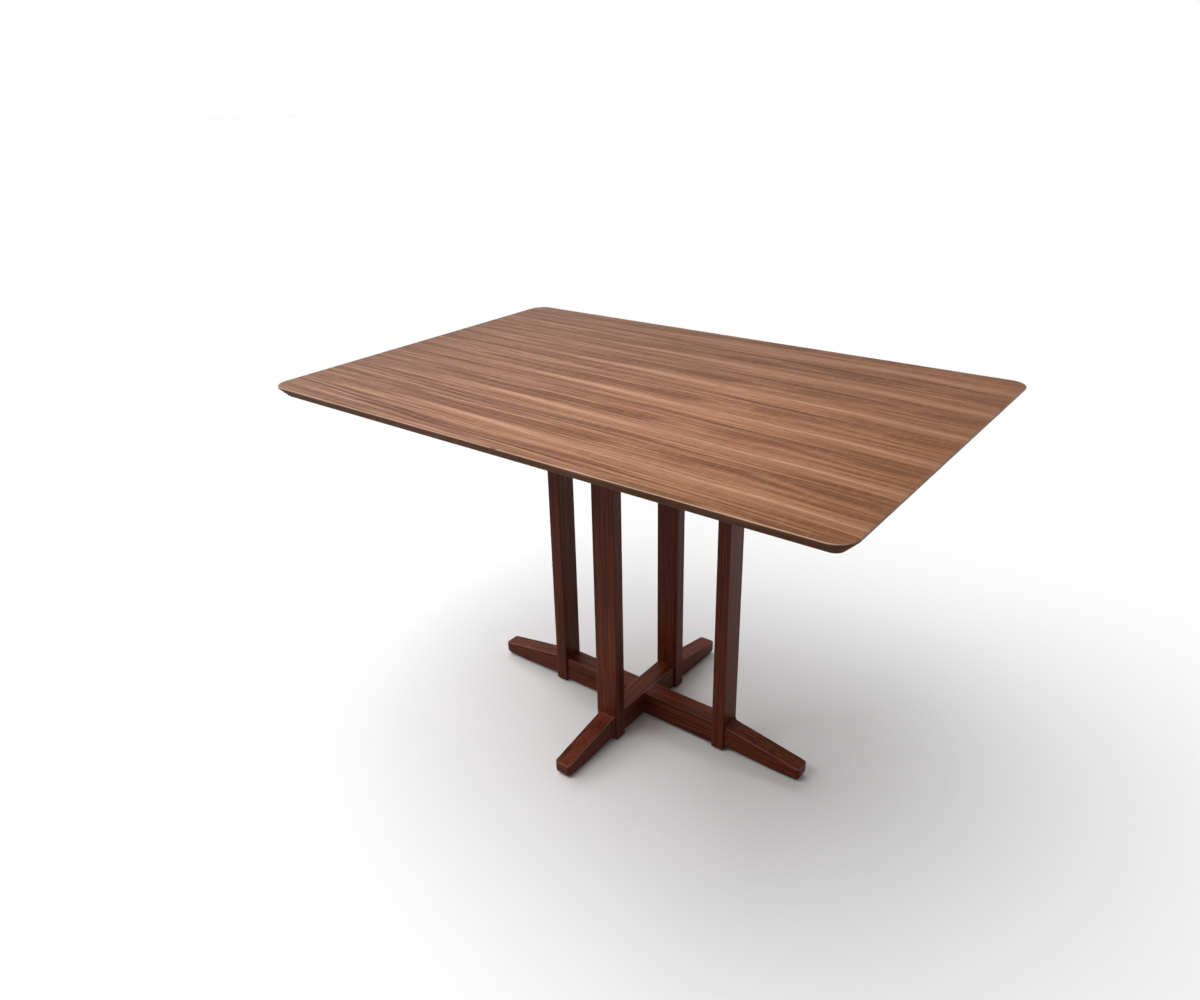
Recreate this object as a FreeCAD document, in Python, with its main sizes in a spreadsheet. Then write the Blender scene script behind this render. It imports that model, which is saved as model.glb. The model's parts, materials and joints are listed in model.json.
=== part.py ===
import FreeCAD, Part
import operator
import os

import Sketcher

# A pedestal dining table whose top parts in the middle on wooden slides.
# A folding leaf is stowed under the top, finished faces together.
# +X runs along the table's length, +Y to its back edge, +Z up.
# The origin is on the floor under the centre of the top.

SIZES = (
    # The top: two halves that meet in a seam across the middle
    ("table_length", 1194.0),
    ("table_width", 800.0),
    ("table_height", 750.0),
    ("slab_thickness", 22.0),
    ("corner_radius", 34.0),
    ("edge_land", 4.0),
    ("arris_radius", 1.6),
    ("seam_gap", 0.1),
    # The crossing floor beams, tapered outside the posts
    ("beam_width", 42.0),
    ("beam_top", 61.0),
    ("arch_height", 8.5),
    ("tip_width", 36.0),
    ("tip_top", 31.0),
    ("tip_round", 10.0),
    ("sole_round", 7.0),
    ("shoulder_ledge", 4.0),
    ("shoulder_step", 2.0),
    ("beam_ease", 2.0),
    ("long_reach", 391.0),
    ("cross_reach", 278.0),
    ("foot_flat", 64.0),
    ("glide_radius", 11.0),
    ("glide_height", 2.5),
    ("glide_inset", 30.0),
    # The four posts, forked over the beams below and the rails above
    ("post_depth", 28.0),
    ("post_width", 52.0),
    ("post_ease", 2.0),
    ("post_floor_gap", 3.0),
    ("post_end_chamfer", 1.5),
    ("long_post_centre", 209.0),
    ("cross_post_centre", 112.0),
    # The upper cross and the two bearers that stand on it
    ("rail_width", 42.0),
    ("rail_height", 46.0),
    ("rail_overhang", 38.0),
    ("bearer_width", 40.0),
    ("bearer_height", 40.0),
    ("bearer_end_height", 16.0),
    ("bearer_end_taper", 72.0),
    ("bearer_overhang", 2.0),
    ("bearer_centre", 236.0),
    # The fixed runners and the sliders that run beside them
    ("leaf_side_room", 17.5),
    ("runner_width", 30.0),
    ("runner_height", 38.0),
    ("runner_length", 580.0),
    ("groove_low", 14.0),
    ("groove_height", 10.0),
    ("groove_depth", 8.0),
    ("slide_play", 0.2),
    ("slider_side_gap", 0.5),
    ("slider_width", 22.0),
    ("slider_lift", 2.0),
    ("slider_tail", 230.0),
    ("slider_reach", 540.0),
    ("slider_relief", 3.0),
    ("slider_relief_past_seam", 10.0),
    ("tongue_end_gap", 1.0),
    ("tongue_length", 295.0),
    ("end_plate_thickness", 3.0),
    # Battens that keep the halves flat
    ("batten_end_margin", 107.0),
    ("batten_width", 44.0),
    ("batten_height", 22.0),
    ("batten_side_room", 13.5),
    ("batten_end_chamfer", 14.0),
    # Pins that line the halves and the leaf up
    ("pin_radius", 4.0),
    ("pin_stand", 12.0),
    ("pin_seat", 18.0),
    ("socket_spare", 2.0),
    ("pin_play", 0.1),
    ("glue_gap", 0.05),
    ("pin_edge_margin", 100.0),
    ("pin_fold_margin", 92.0),
    # The stowed leaf
    ("leaf_length", 400.0),
    ("fold_gap", 0.4),
    ("face_gap", 1.0),
    ("leaf_headroom", 23.0),
    # Hinges along the fold
    ("hinge_spread", 140.0),
    ("hinge_width", 22.0),
    ("hinge_plate", 2.5),
    ("hinge_plate_height", 14.0),
    ("hinge_neck", 3.0),
    ("knuckle_radius", 2.4),
    ("middle_knuckle_length", 9.4),
    ("outer_knuckle_length", 5.0),
    ("knuckle_play", 0.3),
    ("hinge_pin_radius", 1.2),
    ("running_play", 0.05),
    # Pivots that carry the leaf between the bearers
    ("pivot_pin_radius", 4.0),
    ("pivot_head_radius", 6.0),
    ("pivot_head_length", 3.0),
    ("pivot_lug_radius", 9.0),
    ("pivot_lug_thickness", 4.0),
    ("pivot_lug_inset", 4.0),
    ("pivot_flange_length", 46.0),
    ("pivot_flange_width", 30.0),
    ("plate_thickness", 3.0),
    ("bracket_width", 40.0),
    ("bracket_thickness", 4.0),
    ("bracket_foot", 34.0),
    ("bracket_inset", 1.0),
    ("bracket_crown", 8.5),
    # Rests that stop the leaf at its stowed height
    ("rest_margin", 48.0),
    ("rest_width", 32.0),
    ("rest_length", 28.0),
    ("tab_width", 24.0),
    ("tab_grip", 40.0),
    # Catch discs that hold the folded wings together
    ("disc_radius", 7.0),
    ("disc_depth", 5.0),
    ("disc_spread", 150.0),
    ("disc_inset", 40.0),
    # Screws and bolts
    ("screw_radius", 2.2),
    ("screw_head_radius", 4.4),
    ("screw_head_depth", 3.0),
    ("bolt_radius", 4.0),
    ("bolt_head_radius", 7.0),
    ("bolt_head_depth", 5.0),
    ("slab_bite", 14.0),
    ("timber_bite", 36.0),
    ("bearer_screw_spread", 12.0),
    ("batten_screw_margin", 54.0),
    ("plate_screw_spread", 9.0),
    ("plate_screw_length", 20.0),
    # Every cut runs past its face by this much
    ("overrun", 5.0),
)

# Places along a slider's screwed stretch
SLIDER_SCREW_SHARES = (0.12, 0.5, 0.88)
SIDES = (-1, 1)
TOUCH = 0.001

doc = FreeCAD.newDocument("butterfly_leaf_table")
sheet = doc.addObject("Spreadsheet::Sheet", "sizes")
nodes = {}


class Size:
    """A length in millimetres, with the sheet formula that keeps it live."""

    def __init__(self, value, formula):
        self.value = value
        self.formula = formula

    def __add__(self, other):
        return joined_size(self, "+", other)

    def __sub__(self, other):
        return joined_size(self, "-", other)

    def __mul__(self, other):
        return joined_size(self, "*", other)

    def __truediv__(self, other):
        return joined_size(self, "/", other)

    def __rmul__(self, other):
        return joined_size(other, "*", self)

    def __neg__(self):
        return Size(-self.value, f"(-1 * {self.formula})")


SIGNS = {"+": operator.add, "-": operator.sub, "*": operator.mul, "/": operator.truediv}


def as_size(thing):
    if isinstance(thing, Size):
        return thing
    return Size(thing, f"({thing})")


def joined_size(left, sign, right):
    left = as_size(left)
    right = as_size(right)
    value = SIGNS[sign](left.value, right.value)
    return Size(value, f"({left.formula} {sign} {right.formula})")


class Sheet:
    """The driving dimensions, each under its own name."""

    def __init__(self, rows):
        for row, (name, value) in enumerate(rows, start=1):
            sheet.set(f"A{row}", name)
            sheet.set(f"B{row}", str(value))
            sheet.setAlias(f"B{row}", name)
            setattr(self, name, Size(value, f"sizes.{name}"))


s = Sheet(SIZES)
doc.recompute()


def bind(thing, prop, size):
    thing.setExpression(prop, as_size(size).formula)


def place(thing, x=0, y=0, z=0, turn=0):
    """Turns a piece about the vertical and binds where it stands."""
    upright = FreeCAD.Vector(0, 0, 1)
    thing.Placement = FreeCAD.Placement(FreeCAD.Vector(), FreeCAD.Rotation(upright, turn))
    for axis, where in zip("xyz", (x, y, z)):
        bind(thing, "Placement.Base." + axis, where)


def span(side, low, high):
    """The stretch from low to high on the + side, or its image on the - side."""
    if side > 0:
        return low, high
    return -high, -low


def keep(name, thing):
    thing.Label = name
    nodes[name] = thing
    return thing


# Plain solids and what joins them

def block(name, x, y, z):
    solid = doc.addObject("Part::Box", name)
    for axis, side, (low, high) in zip("xyz", ("Length", "Width", "Height"), (x, y, z)):
        bind(solid, side, as_size(high) - low)
        bind(solid, "Placement.Base." + axis, low)
    return solid


ROD_TURNS = {
    "x": FreeCAD.Rotation(FreeCAD.Vector(0, 1, 0), 90),
    "z": FreeCAD.Rotation(),
    "-z": FreeCAD.Rotation(FreeCAD.Vector(1, 0, 0), 180),
}


def rod(name, axis, start, length, radius):
    solid = doc.addObject("Part::Cylinder", name)
    solid.Placement = FreeCAD.Placement(FreeCAD.Vector(), ROD_TURNS[axis])
    bind(solid, "Radius", radius)
    bind(solid, "Height", length)
    for letter, where in zip("xyz", start):
        bind(solid, "Placement.Base." + letter, where)
    return solid


def fused(name, pieces):
    whole = doc.addObject("Part::MultiFuse", name)
    whole.Shapes = pieces
    return whole


def group(name, pieces):
    """Like pieces that share one node, each still its own solid."""
    whole = doc.addObject("Part::Compound", name)
    whole.Links = pieces
    return keep(name, whole)


def cut(name, base, tools):
    whole = doc.addObject("Part::Cut", name)
    whole.Base = base
    whole.Tool = tools[0] if len(tools) == 1 else fused(name + "_tools", tools)
    return whole


def screw(name, axis, start, length, radius, head_radius, head_depth):
    """A countersunk screw whose flat head starts at the given point."""
    head = doc.addObject("Part::Cone", name + "_head")
    head.Placement = FreeCAD.Placement(FreeCAD.Vector(), ROD_TURNS[axis])
    bind(head, "Radius1", head_radius)
    bind(head, "Radius2", radius)
    bind(head, "Height", head_depth)
    for letter, where in zip("xyz", start):
        bind(head, "Placement.Base." + letter, where)
    shank = rod(name + "_shank", axis, start, length, radius)
    return fused(name, [head, shank])


def wood_screws(name, axis, starts, length):
    pieces = []
    for count, start in enumerate(starts):
        piece = screw(f"{name}_{count}", axis, start, length,
                      s.screw_radius, s.screw_head_radius, s.screw_head_depth)
        pieces.append(piece)
    return group(name, pieces)


def bolts(name, axis, starts, length):
    pieces = []
    for count, start in enumerate(starts):
        head = rod(f"{name}_{count}_head", axis, start, s.bolt_head_depth, s.bolt_head_radius)
        shank = rod(f"{name}_{count}_shank", axis, start, length, s.bolt_radius)
        pieces.append(fused(f"{name}_{count}", [head, shank]))
    return group(name, pieces)


# Sketched bodies

def new_body(name):
    return keep(name, doc.addObject("PartDesign::Body", name))


def sketch_on(body, name, plane):
    sketch = body.newObject("Sketcher::SketchObject", f"{body.Name}_{name}")
    datum = [item for item in body.Origin.OriginFeatures if item.Role == plane]
    sketch.AttachmentSupport = (datum[0], [""])
    sketch.MapMode = "FlatFace"
    return sketch


def tie(sketch, kind, geometry, size):
    """One bound dimension: a point's place from the origin, or a radius."""
    index = sketch.addConstraint(Sketcher.Constraint(kind, *geometry, as_size(size).value))
    bind(sketch, f"Constraints[{index}]", size)


def draw_outline(sketch, points):
    """A closed outline of straight lines whose corners are bound to the sheet."""
    first = sketch.GeometryCount
    corners = [FreeCAD.Vector(as_size(x).value, as_size(y).value, 0) for x, y in points]
    last = len(points) - 1
    for count, corner in enumerate(corners):
        following = corners[0 if count == last else count + 1]
        sketch.addGeometry(Part.LineSegment(corner, following), False)
    for count in range(len(points)):
        following = first if count == last else first + count + 1
        sketch.addConstraint(Sketcher.Constraint("Coincident", first + count, 2, following, 1))
    for count, (x, y) in enumerate(points):
        tie(sketch, "DistanceX", (first + count, 1), x)
        tie(sketch, "DistanceY", (first + count, 1), y)


def draw_circle(sketch, x, y, radius):
    centre = FreeCAD.Vector(as_size(x).value, as_size(y).value, 0)
    upright = FreeCAD.Vector(0, 0, 1)
    index = sketch.addGeometry(Part.Circle(centre, upright, as_size(radius).value), False)
    tie(sketch, "DistanceX", (index, 3), x)
    tie(sketch, "DistanceY", (index, 3), y)
    tie(sketch, "Radius", (index,), radius)


def feature(body, kind, name, sketch, length, side):
    made = body.newObject("PartDesign::" + kind, f"{body.Name}_{name}")
    made.Profile = sketch
    made.SideType = side
    bind(made, "Length", length)
    doc.recompute()
    return made


def pad(body, name, plane, points, length, side="Symmetric"):
    sketch = sketch_on(body, name + "_outline", plane)
    draw_outline(sketch, points)
    return feature(body, "Pad", name, sketch, length, side)


def pocket(body, name, plane, outlines, length):
    """Cuts outlines right through, both ways from the plane."""
    before = body.Shape.Volume
    sketch = sketch_on(body, name + "_outline", plane)
    for points in outlines:
        draw_outline(sketch, points)
    made = feature(body, "Pocket", name, sketch, length, "Symmetric")
    if body.Shape.Volume >= before:
        raise ValueError(body.Label + ": " + name + " cuts nothing")
    return made


def dress(body, kind, name, size, wanted):
    """Rounds or chamfers the edges of a body that the test picks out."""
    base = body.Tip
    picked = [f"Edge{count}" for count, edge in enumerate(base.Shape.Edges, start=1) if wanted(edge)]
    if not picked:
        raise ValueError(body.Label + ": no edge for " + name)
    made = body.newObject("PartDesign::" + kind, f"{body.Name}_{name}")
    made.Base = (base, picked)
    bind(made, "Radius" if kind == "Fillet" else "Size", size)
    doc.recompute()
    return made


def rectangle(x, y):
    return [(x[0], y[0]), (x[1], y[0]), (x[1], y[1]), (x[0], y[1])]


# Heights that pieces share, from the floor up
slab_low = s.table_height - s.slab_thickness
runner_low = slab_low - s.slider_relief - s.runner_height - 2 * s.glue_gap
bearer_low = runner_low - s.bearer_height
rail_low = bearer_low - s.rail_height
lap_level = (s.arch_height + s.beam_top) / 2
rail_lap_level = rail_low + s.rail_height / 2
bevel = s.slab_thickness - s.edge_land
seam = s.seam_gap / 2

# Places under the top: the stowed leaf lies between the sliders
fold_edge = -(s.table_width / 4)
wing_width = s.table_width / 2 - s.fold_gap / 2
slider_inner = s.table_width / 4 + s.leaf_side_room
runner_centre = slider_inner + s.slider_width + s.slider_side_gap + s.runner_width / 2
bearer_reach = runner_centre + s.runner_width / 2 + s.bearer_overhang
batten_reach = slider_inner - s.batten_side_room
batten_screw_spread = batten_reach - s.batten_screw_margin
batten_centre = s.table_length / 2 - s.batten_end_margin
pin_reach = s.table_width / 2 - s.pin_edge_margin
pin_places = (-pin_reach, -s.pin_fold_margin, s.pin_fold_margin, pin_reach)
rest_place = fold_edge + wing_width - s.rest_margin


# The floor cross

def beam(name, reach, post_centre, lap, turn):
    """A floor beam, rounded below: level between its posts, then tapered to the foot."""
    body = new_body(name)
    place(body, turn=turn)
    shoulder = post_centre + s.post_depth / 2 + s.shoulder_ledge
    slope_top = s.beam_top - s.shoulder_step
    heel = reach - s.foot_flat
    side = [
        (-reach, s.glide_height), (-reach, s.tip_top), (-shoulder, slope_top),
        (-shoulder, s.beam_top), (shoulder, s.beam_top), (shoulder, slope_top),
        (reach, s.tip_top), (reach, s.glide_height),
        (heel, s.glide_height), (post_centre, s.arch_height),
        (-post_centre, s.arch_height), (-heel, s.glide_height),
    ]
    pad(body, "side", "XZ_Plane", side, s.beam_width)
    half = s.beam_width / 2
    tip_half = s.tip_width / 2
    tapers = []
    for end in SIDES:
        for edge in SIDES:
            tapers.append([
                (end * shoulder, edge * (half - s.shoulder_step)),
                (end * reach, edge * tip_half),
                (end * (reach + s.overrun), edge * tip_half),
                (end * (reach + s.overrun), edge * (half + s.overrun)),
                (end * shoulder, edge * (half + s.overrun)),
            ])
    pocket(body, "taper", "XY_Plane", tapers, 2 * (s.beam_top + s.overrun))
    floor_level = s.glide_height.value + TOUCH
    tip_end = reach.value - TOUCH
    slope_start = shoulder.value + TOUCH
    slope_level = slope_top.value - TOUCH
    dress(body, "Fillet", "tip", s.tip_round,
          lambda edge: edge.BoundBox.ZMax < floor_level and abs(edge.CenterOfMass.x) > tip_end)
    dress(body, "Fillet", "sole", s.sole_round,
          lambda edge: edge.BoundBox.ZMax < s.arch_height.value and edge.BoundBox.XLength > TOUCH
          and abs(edge.CenterOfMass.x) > slope_start
          or edge.BoundBox.ZLength > TOUCH and abs(edge.CenterOfMass.x) > tip_end)
    dress(body, "Fillet", "ease", s.beam_ease,
          lambda edge: edge.BoundBox.ZLength > TOUCH and edge.BoundBox.ZMax > slope_level
          and abs(edge.CenterOfMass.x) > slope_start)
    pocket(body, "lap", "XZ_Plane", [rectangle((-half, half), lap)], 2 * s.beam_width)
    return body


long_lap = (lap_level, s.beam_top + s.overrun)
cross_lap = (s.arch_height - s.overrun, lap_level)
beam("base_beam_long", s.long_reach, s.long_post_centre, long_lap, 0)
beam("base_beam_cross", s.cross_reach, s.cross_post_centre, cross_lap, 90)

glides = []
for end in SIDES:
    for arm, reach in (("long", s.long_reach), ("cross", s.cross_reach)):
        along = end * (reach - s.glide_inset)
        spot = (along, 0, 0) if arm == "long" else (0, along, 0)
        glides.append(rod(f"glide_{arm}_{len(glides)}", "z", spot, s.glide_height, s.glide_radius))
group("floor_glides", glides)


# The posts

def post(name, centre, turn):
    """An upright, forked at both ends over the beam and the rail."""
    body = new_body(name)
    place(body, z=s.post_floor_gap, turn=turn)
    height = rail_low + s.rail_height - s.post_floor_gap
    depth = (centre - s.post_depth / 2, centre + s.post_depth / 2)
    half = s.post_width / 2
    pad(body, "stock", "XY_Plane", rectangle(depth, (-half, half)), height, "One side")
    dress(body, "Fillet", "ease", s.post_ease,
          lambda edge: edge.BoundBox.ZLength > height.value - TOUCH)
    dress(body, "Chamfer", "foot", s.post_end_chamfer, lambda edge: edge.BoundBox.ZMax < TOUCH)
    beam_half = s.beam_width / 2
    rail_half = s.rail_width / 2
    fork = rectangle((-beam_half, beam_half), (-s.overrun, s.beam_top - s.post_floor_gap))
    crown = rectangle((-rail_half, rail_half), (rail_low - s.post_floor_gap, height + s.overrun))
    pocket(body, "forks", "YZ_Plane", [fork, crown], 2 * (centre + s.post_depth))
    return body


POSTS = (
    ("post_right", s.long_post_centre, 0),
    ("post_back", s.cross_post_centre, 90),
    ("post_left", s.long_post_centre, 180),
    ("post_front", s.cross_post_centre, 270),
)
for post_name, post_centre, post_turn in POSTS:
    post(post_name, post_centre, post_turn)


# The upper cross, its bearers and the fixed runners

def rail(name, reach, lap, turn):
    body = new_body(name)
    place(body, turn=turn)
    side = rectangle((-reach, reach), (rail_low, rail_low + s.rail_height))
    pad(body, "side", "XZ_Plane", side, s.rail_width)
    half = s.rail_width / 2
    pocket(body, "lap", "XZ_Plane", [rectangle((-half, half), lap)], 2 * s.rail_width)
    return body


rail("top_rail_long", s.long_post_centre + s.post_depth / 2 + s.rail_overhang,
     (rail_lap_level, bearer_low + s.overrun), 0)
rail("top_rail_cross", s.cross_post_centre + s.post_depth / 2 + s.rail_overhang / 2,
     (rail_low - s.overrun, rail_lap_level), 90)


def bearer(name, side):
    """A cross bearer under both runners, cut away below at its ends."""
    body = new_body(name)
    place(body, x=side * s.bearer_centre)
    taper_start = bearer_reach - s.bearer_end_taper
    end_low = runner_low - s.bearer_end_height
    face = [
        (-bearer_reach, runner_low), (-bearer_reach, end_low), (-taper_start, bearer_low),
        (taper_start, bearer_low), (bearer_reach, end_low), (bearer_reach, runner_low),
    ]
    pad(body, "face", "YZ_Plane", face, s.bearer_width)
    return body


groove_low = runner_low + s.groove_low
groove_high = groove_low + s.groove_height


def runner(name, side):
    """A fixed runner with a groove along each side."""
    body = new_body(name)
    place(body, y=side * runner_centre)
    half = s.runner_width / 2
    web = half - s.groove_depth
    top = runner_low + s.runner_height
    section = [
        (-half, runner_low), (half, runner_low), (half, groove_low), (web, groove_low),
        (web, groove_high), (half, groove_high), (half, top), (-half, top),
        (-half, groove_high), (-web, groove_high), (-web, groove_low), (-half, groove_low),
    ]
    pad(body, "section", "YZ_Plane", section, s.runner_length)
    return body


for hand, side in (("left", -1), ("right", 1)):
    bearer("bearer_" + hand, side)
for hand, side in (("front", -1), ("back", 1)):
    runner("runner_" + hand, side)

runner_half = s.runner_length / 2
plates = []
plate_screws = []
for side in SIDES:
    across = side * runner_centre
    for end in SIDES:
        plates.append(block(f"end_plate_{len(plates)}",
                            span(end, runner_half, runner_half + s.end_plate_thickness),
                            (across - s.runner_width / 2, across + s.runner_width / 2),
                            (runner_low, runner_low + s.runner_height)))
        for height in SIDES:
            level = (groove_low + groove_high) / 2 + height * s.plate_screw_spread
            tip = end * (runner_half + s.end_plate_thickness)
            start = tip if end < 0 else tip - s.plate_screw_length
            plate_screws.append(rod(f"plate_screw_{len(plate_screws)}", "x", (start, across, level),
                                    s.plate_screw_length, s.screw_radius))
group("slide_end_plates", plates)
group("end_plate_screws", plate_screws)


# The top halves and what is screwed under them

def top_half(name, turn, bore_radius, bore_depth):
    """Half of the top: rounded corners, an upright land and a bevel below it."""
    body = new_body(name)
    place(body, z=slab_low, turn=turn)
    half_width = s.table_width / 2
    end = s.table_length / 2
    pad(body, "slab", "XY_Plane", rectangle((seam, end), (-half_width, half_width)),
        s.slab_thickness, "One side")
    dress(body, "Fillet", "corners", s.corner_radius,
          lambda edge: edge.BoundBox.XMin > end.value - TOUCH
          and edge.BoundBox.ZLength > s.slab_thickness.value - TOUCH)
    dress(body, "Chamfer", "bevel", bevel,
          lambda edge: edge.BoundBox.ZMax < TOUCH and edge.BoundBox.XMax > seam.value + TOUCH)
    dress(body, "Fillet", "arris", s.arris_radius,
          lambda edge: edge.BoundBox.ZMin > s.slab_thickness.value - TOUCH
          and edge.BoundBox.XMax > seam.value + TOUCH)
    sketch = sketch_on(body, "bores_outline", "YZ_Plane")
    for across in pin_places:
        draw_circle(sketch, across, s.slab_thickness / 2, bore_radius)
    feature(body, "Pocket", "bores", sketch, 2 * (seam + bore_depth), "Symmetric")
    return body


top_half("top_half_right", 0, s.pin_radius + s.glue_gap, s.pin_seat)
top_half("top_half_left", 180, s.pin_radius + s.pin_play, s.pin_stand + s.socket_spare)

pin_level = slab_low + s.slab_thickness / 2
pins = []
for across in pin_places:
    start = (seam - s.pin_stand, across, pin_level)
    pins.append(rod(f"alignment_pin_{len(pins)}", "x", start, s.pin_stand + s.pin_seat, s.pin_radius))
group("alignment_pins", pins)

slider_low = runner_low + s.slider_lift


def slider(name, hand, centre):
    """A sliding runner: its tongue runs in the fixed runner's groove."""
    near = hand * centre + s.runner_width / 2 + s.slider_side_gap
    far = near + s.slider_width
    across = span(hand, near, far)
    bar = block(name + "_bar", span(hand, -s.slider_tail, s.slider_reach), across,
                (slider_low, slab_low))
    tongue_tip = near - s.slider_side_gap - s.groove_depth + s.tongue_end_gap
    tongue = block(name + "_tongue", span(hand, -s.slider_tail, s.tongue_length - s.slider_tail),
                   span(hand, tongue_tip, near + s.slider_side_gap),
                   (groove_low + s.slide_play, groove_high - s.slide_play))
    relief = block(name + "_relief", span(hand, -s.slider_tail - s.overrun, s.slider_relief_past_seam),
                   span(hand, near - s.overrun, far + s.overrun),
                   (slab_low - s.slider_relief, slab_low + s.overrun))
    return keep(name, cut(name, fused(name + "_stock", [bar, tongue]), [relief]))


HANDS = (("left", -1), ("right", 1))
for hand_name, hand in HANDS:
    screw_starts = []
    for edge_name, edge in (("front", -1), ("back", 1)):
        slider(f"slider_{hand_name}_{edge_name}", hand, edge * runner_centre)
        middle = edge * runner_centre + hand * (
            (s.runner_width + s.slider_width) / 2 + s.slider_side_gap)
        for share in SLIDER_SCREW_SHARES:
            along = s.slider_relief_past_seam + share * (s.slider_reach - s.slider_relief_past_seam)
            screw_starts.append((hand * along, middle, slider_low))
    wood_screws("slider_screws_" + hand_name, "z", screw_starts,
                slab_low - slider_low + s.slab_bite)


def batten(name, hand):
    """A flat cleat across a half, sloped off at both ends."""
    body = new_body(name)
    place(body, x=hand * batten_centre)
    low = slab_low - s.batten_height
    inner = batten_reach - s.batten_end_chamfer
    face = [
        (-batten_reach, slab_low), (-batten_reach, low + s.batten_end_chamfer), (-inner, low),
        (inner, low), (batten_reach, low + s.batten_end_chamfer), (batten_reach, slab_low),
    ]
    pad(body, "face", "YZ_Plane", face, s.batten_width)
    return body


for hand_name, hand in HANDS:
    batten("batten_" + hand_name, hand)
    starts = []
    for place_sign in (-1, 0, 1):
        starts.append((hand * batten_centre, place_sign * batten_screw_spread,
                       slab_low - s.batten_height))
    wood_screws("batten_screws_" + hand_name, "z", starts, s.batten_height + s.slab_bite)


# The folding leaf, stowed: the upper wing lies face down on the lower one

upper_face = slab_low - s.leaf_headroom - s.slab_thickness
lower_face = upper_face - s.face_gap
fold_across = fold_edge - s.fold_gap / 2
fold_level = (upper_face + lower_face) / 2
leaf_half = s.leaf_length / 2
HINGE_PLACES = (-s.hinge_spread, 0 * s.hinge_spread, s.hinge_spread)


def wing(name, face, away):
    """A wing of the leaf; away is the way from its finished face to its underside."""
    stock = doc.addObject("PartDesign::Body", name + "_stock")
    outer = fold_edge + wing_width
    back = face + away * s.slab_thickness
    land = face + away * s.edge_land
    section = [(fold_edge, face), (outer, face), (outer, land), (outer - bevel, back), (fold_edge, back)]
    pad(stock, "section", "YZ_Plane", section, s.leaf_length)
    middle = face + away * s.slab_thickness / 2
    tools = []
    for place in leaf_pin_places():
        tools.append(rod(f"{name}_bore_{len(tools)}", "x", (-leaf_half - s.overrun, place, middle),
                         s.pin_seat + s.overrun, s.pin_radius + s.glue_gap))
        tools.append(rod(f"{name}_socket_{len(tools)}", "x",
                         (leaf_half - s.pin_stand - s.socket_spare, place, middle),
                         s.pin_stand + s.socket_spare + s.overrun, s.pin_radius + s.pin_play))
    deep = s.hinge_neck + s.hinge_plate_height
    for count, along in enumerate(HINGE_PLACES):
        tools.append(block(f"{name}_mortise_{count}",
                           (along - s.hinge_width / 2, along + s.hinge_width / 2),
                           (fold_edge - s.overrun, fold_edge + s.hinge_plate),
                           span(away, away * face, away * face + deep)))
    for side in SIDES:
        low = face if away > 0 else face - s.disc_depth
        tools.append(rod(f"{name}_disc_seat_{len(tools)}", "z", (side * s.disc_spread, disc_place(), low),
                         s.disc_depth, s.disc_radius + s.glue_gap))
    return keep(name, cut(name, stock, tools))


def leaf_pin_places():
    """Unfolded, the leaf's pins stand as far from the middle as those of the top."""
    return fold_across + s.pin_fold_margin, fold_across + pin_reach


def disc_place():
    return fold_edge + wing_width - s.disc_inset


WINGS = (("upper", upper_face, 1), ("lower", lower_face, -1))
DISC_NAMES = {"upper": "leaf_magnets", "lower": "leaf_strike_discs"}
for wing_name, face, away in WINGS:
    wing("leaf_wing_" + wing_name, face, away)
    middle = face + away * s.slab_thickness / 2
    wing_pins = []
    for where in leaf_pin_places():
        wing_pins.append(rod(f"leaf_pin_{wing_name}_{len(wing_pins)}", "x",
                             (-leaf_half - s.pin_stand, where, middle),
                             s.pin_stand + s.pin_seat, s.pin_radius))
    group("leaf_pins_" + wing_name, wing_pins)
    discs = []
    for side in SIDES:
        low = face if away > 0 else face - s.disc_depth
        discs.append(rod(f"disc_{wing_name}_{len(discs)}", "z",
                         (side * s.disc_spread, disc_place(), low), s.disc_depth, s.disc_radius))
    group(DISC_NAMES[wing_name], discs)


def hinge_half(name, face, away, knuckles, pin_hole):
    """One side of a fold hinge: a plate in its mortise, necks and knuckles."""
    pieces = []
    neck = face + away * s.hinge_neck
    plate_far = neck + away * s.hinge_plate_height
    half = s.hinge_width / 2
    for count, along in enumerate(HINGE_PLACES):
        parts = [block(f"{name}_{count}_plate", (along - half, along + half),
                       (fold_edge, fold_edge + s.hinge_plate),
                       span(away, away * neck, away * plate_far))]
        for number, (low, high) in enumerate(knuckles):
            parts.append(rod(f"{name}_{count}_knuckle_{number}", "x",
                             (along + low, fold_across, fold_level), high - low, s.knuckle_radius))
            parts.append(block(f"{name}_{count}_neck_{number}", (along + low, along + high),
                               (fold_across, fold_edge + s.hinge_plate),
                               span(away, away * fold_level, away * neck)))
        hole = rod(f"{name}_{count}_hole", "x", (along - half - s.overrun, fold_across, fold_level),
                   s.hinge_width + 2 * s.overrun, pin_hole)
        pieces.append(cut(f"{name}_{count}", fused(f"{name}_{count}_stock", parts), [hole]))
    return group(name, pieces)


middle_half = s.middle_knuckle_length / 2
outer_start = middle_half + s.knuckle_play
outer_end = outer_start + s.outer_knuckle_length
hinge_half("leaf_hinges_upper", upper_face, 1,
           [(-outer_end, -outer_start), (outer_start, outer_end)], s.hinge_pin_radius)
hinge_half("leaf_hinges_lower", lower_face, -1,
           [(-middle_half, middle_half)], s.hinge_pin_radius + s.running_play)
hinge_pins = []
for along in HINGE_PLACES:
    hinge_pins.append(rod(f"hinge_pin_{len(hinge_pins)}", "x", (along - outer_end, fold_across, fold_level),
                          2 * outer_end, s.hinge_pin_radius))
group("leaf_hinge_pins", hinge_pins)


# Pivots: turned half over about them, the upper wing comes up flush with the top

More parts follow.
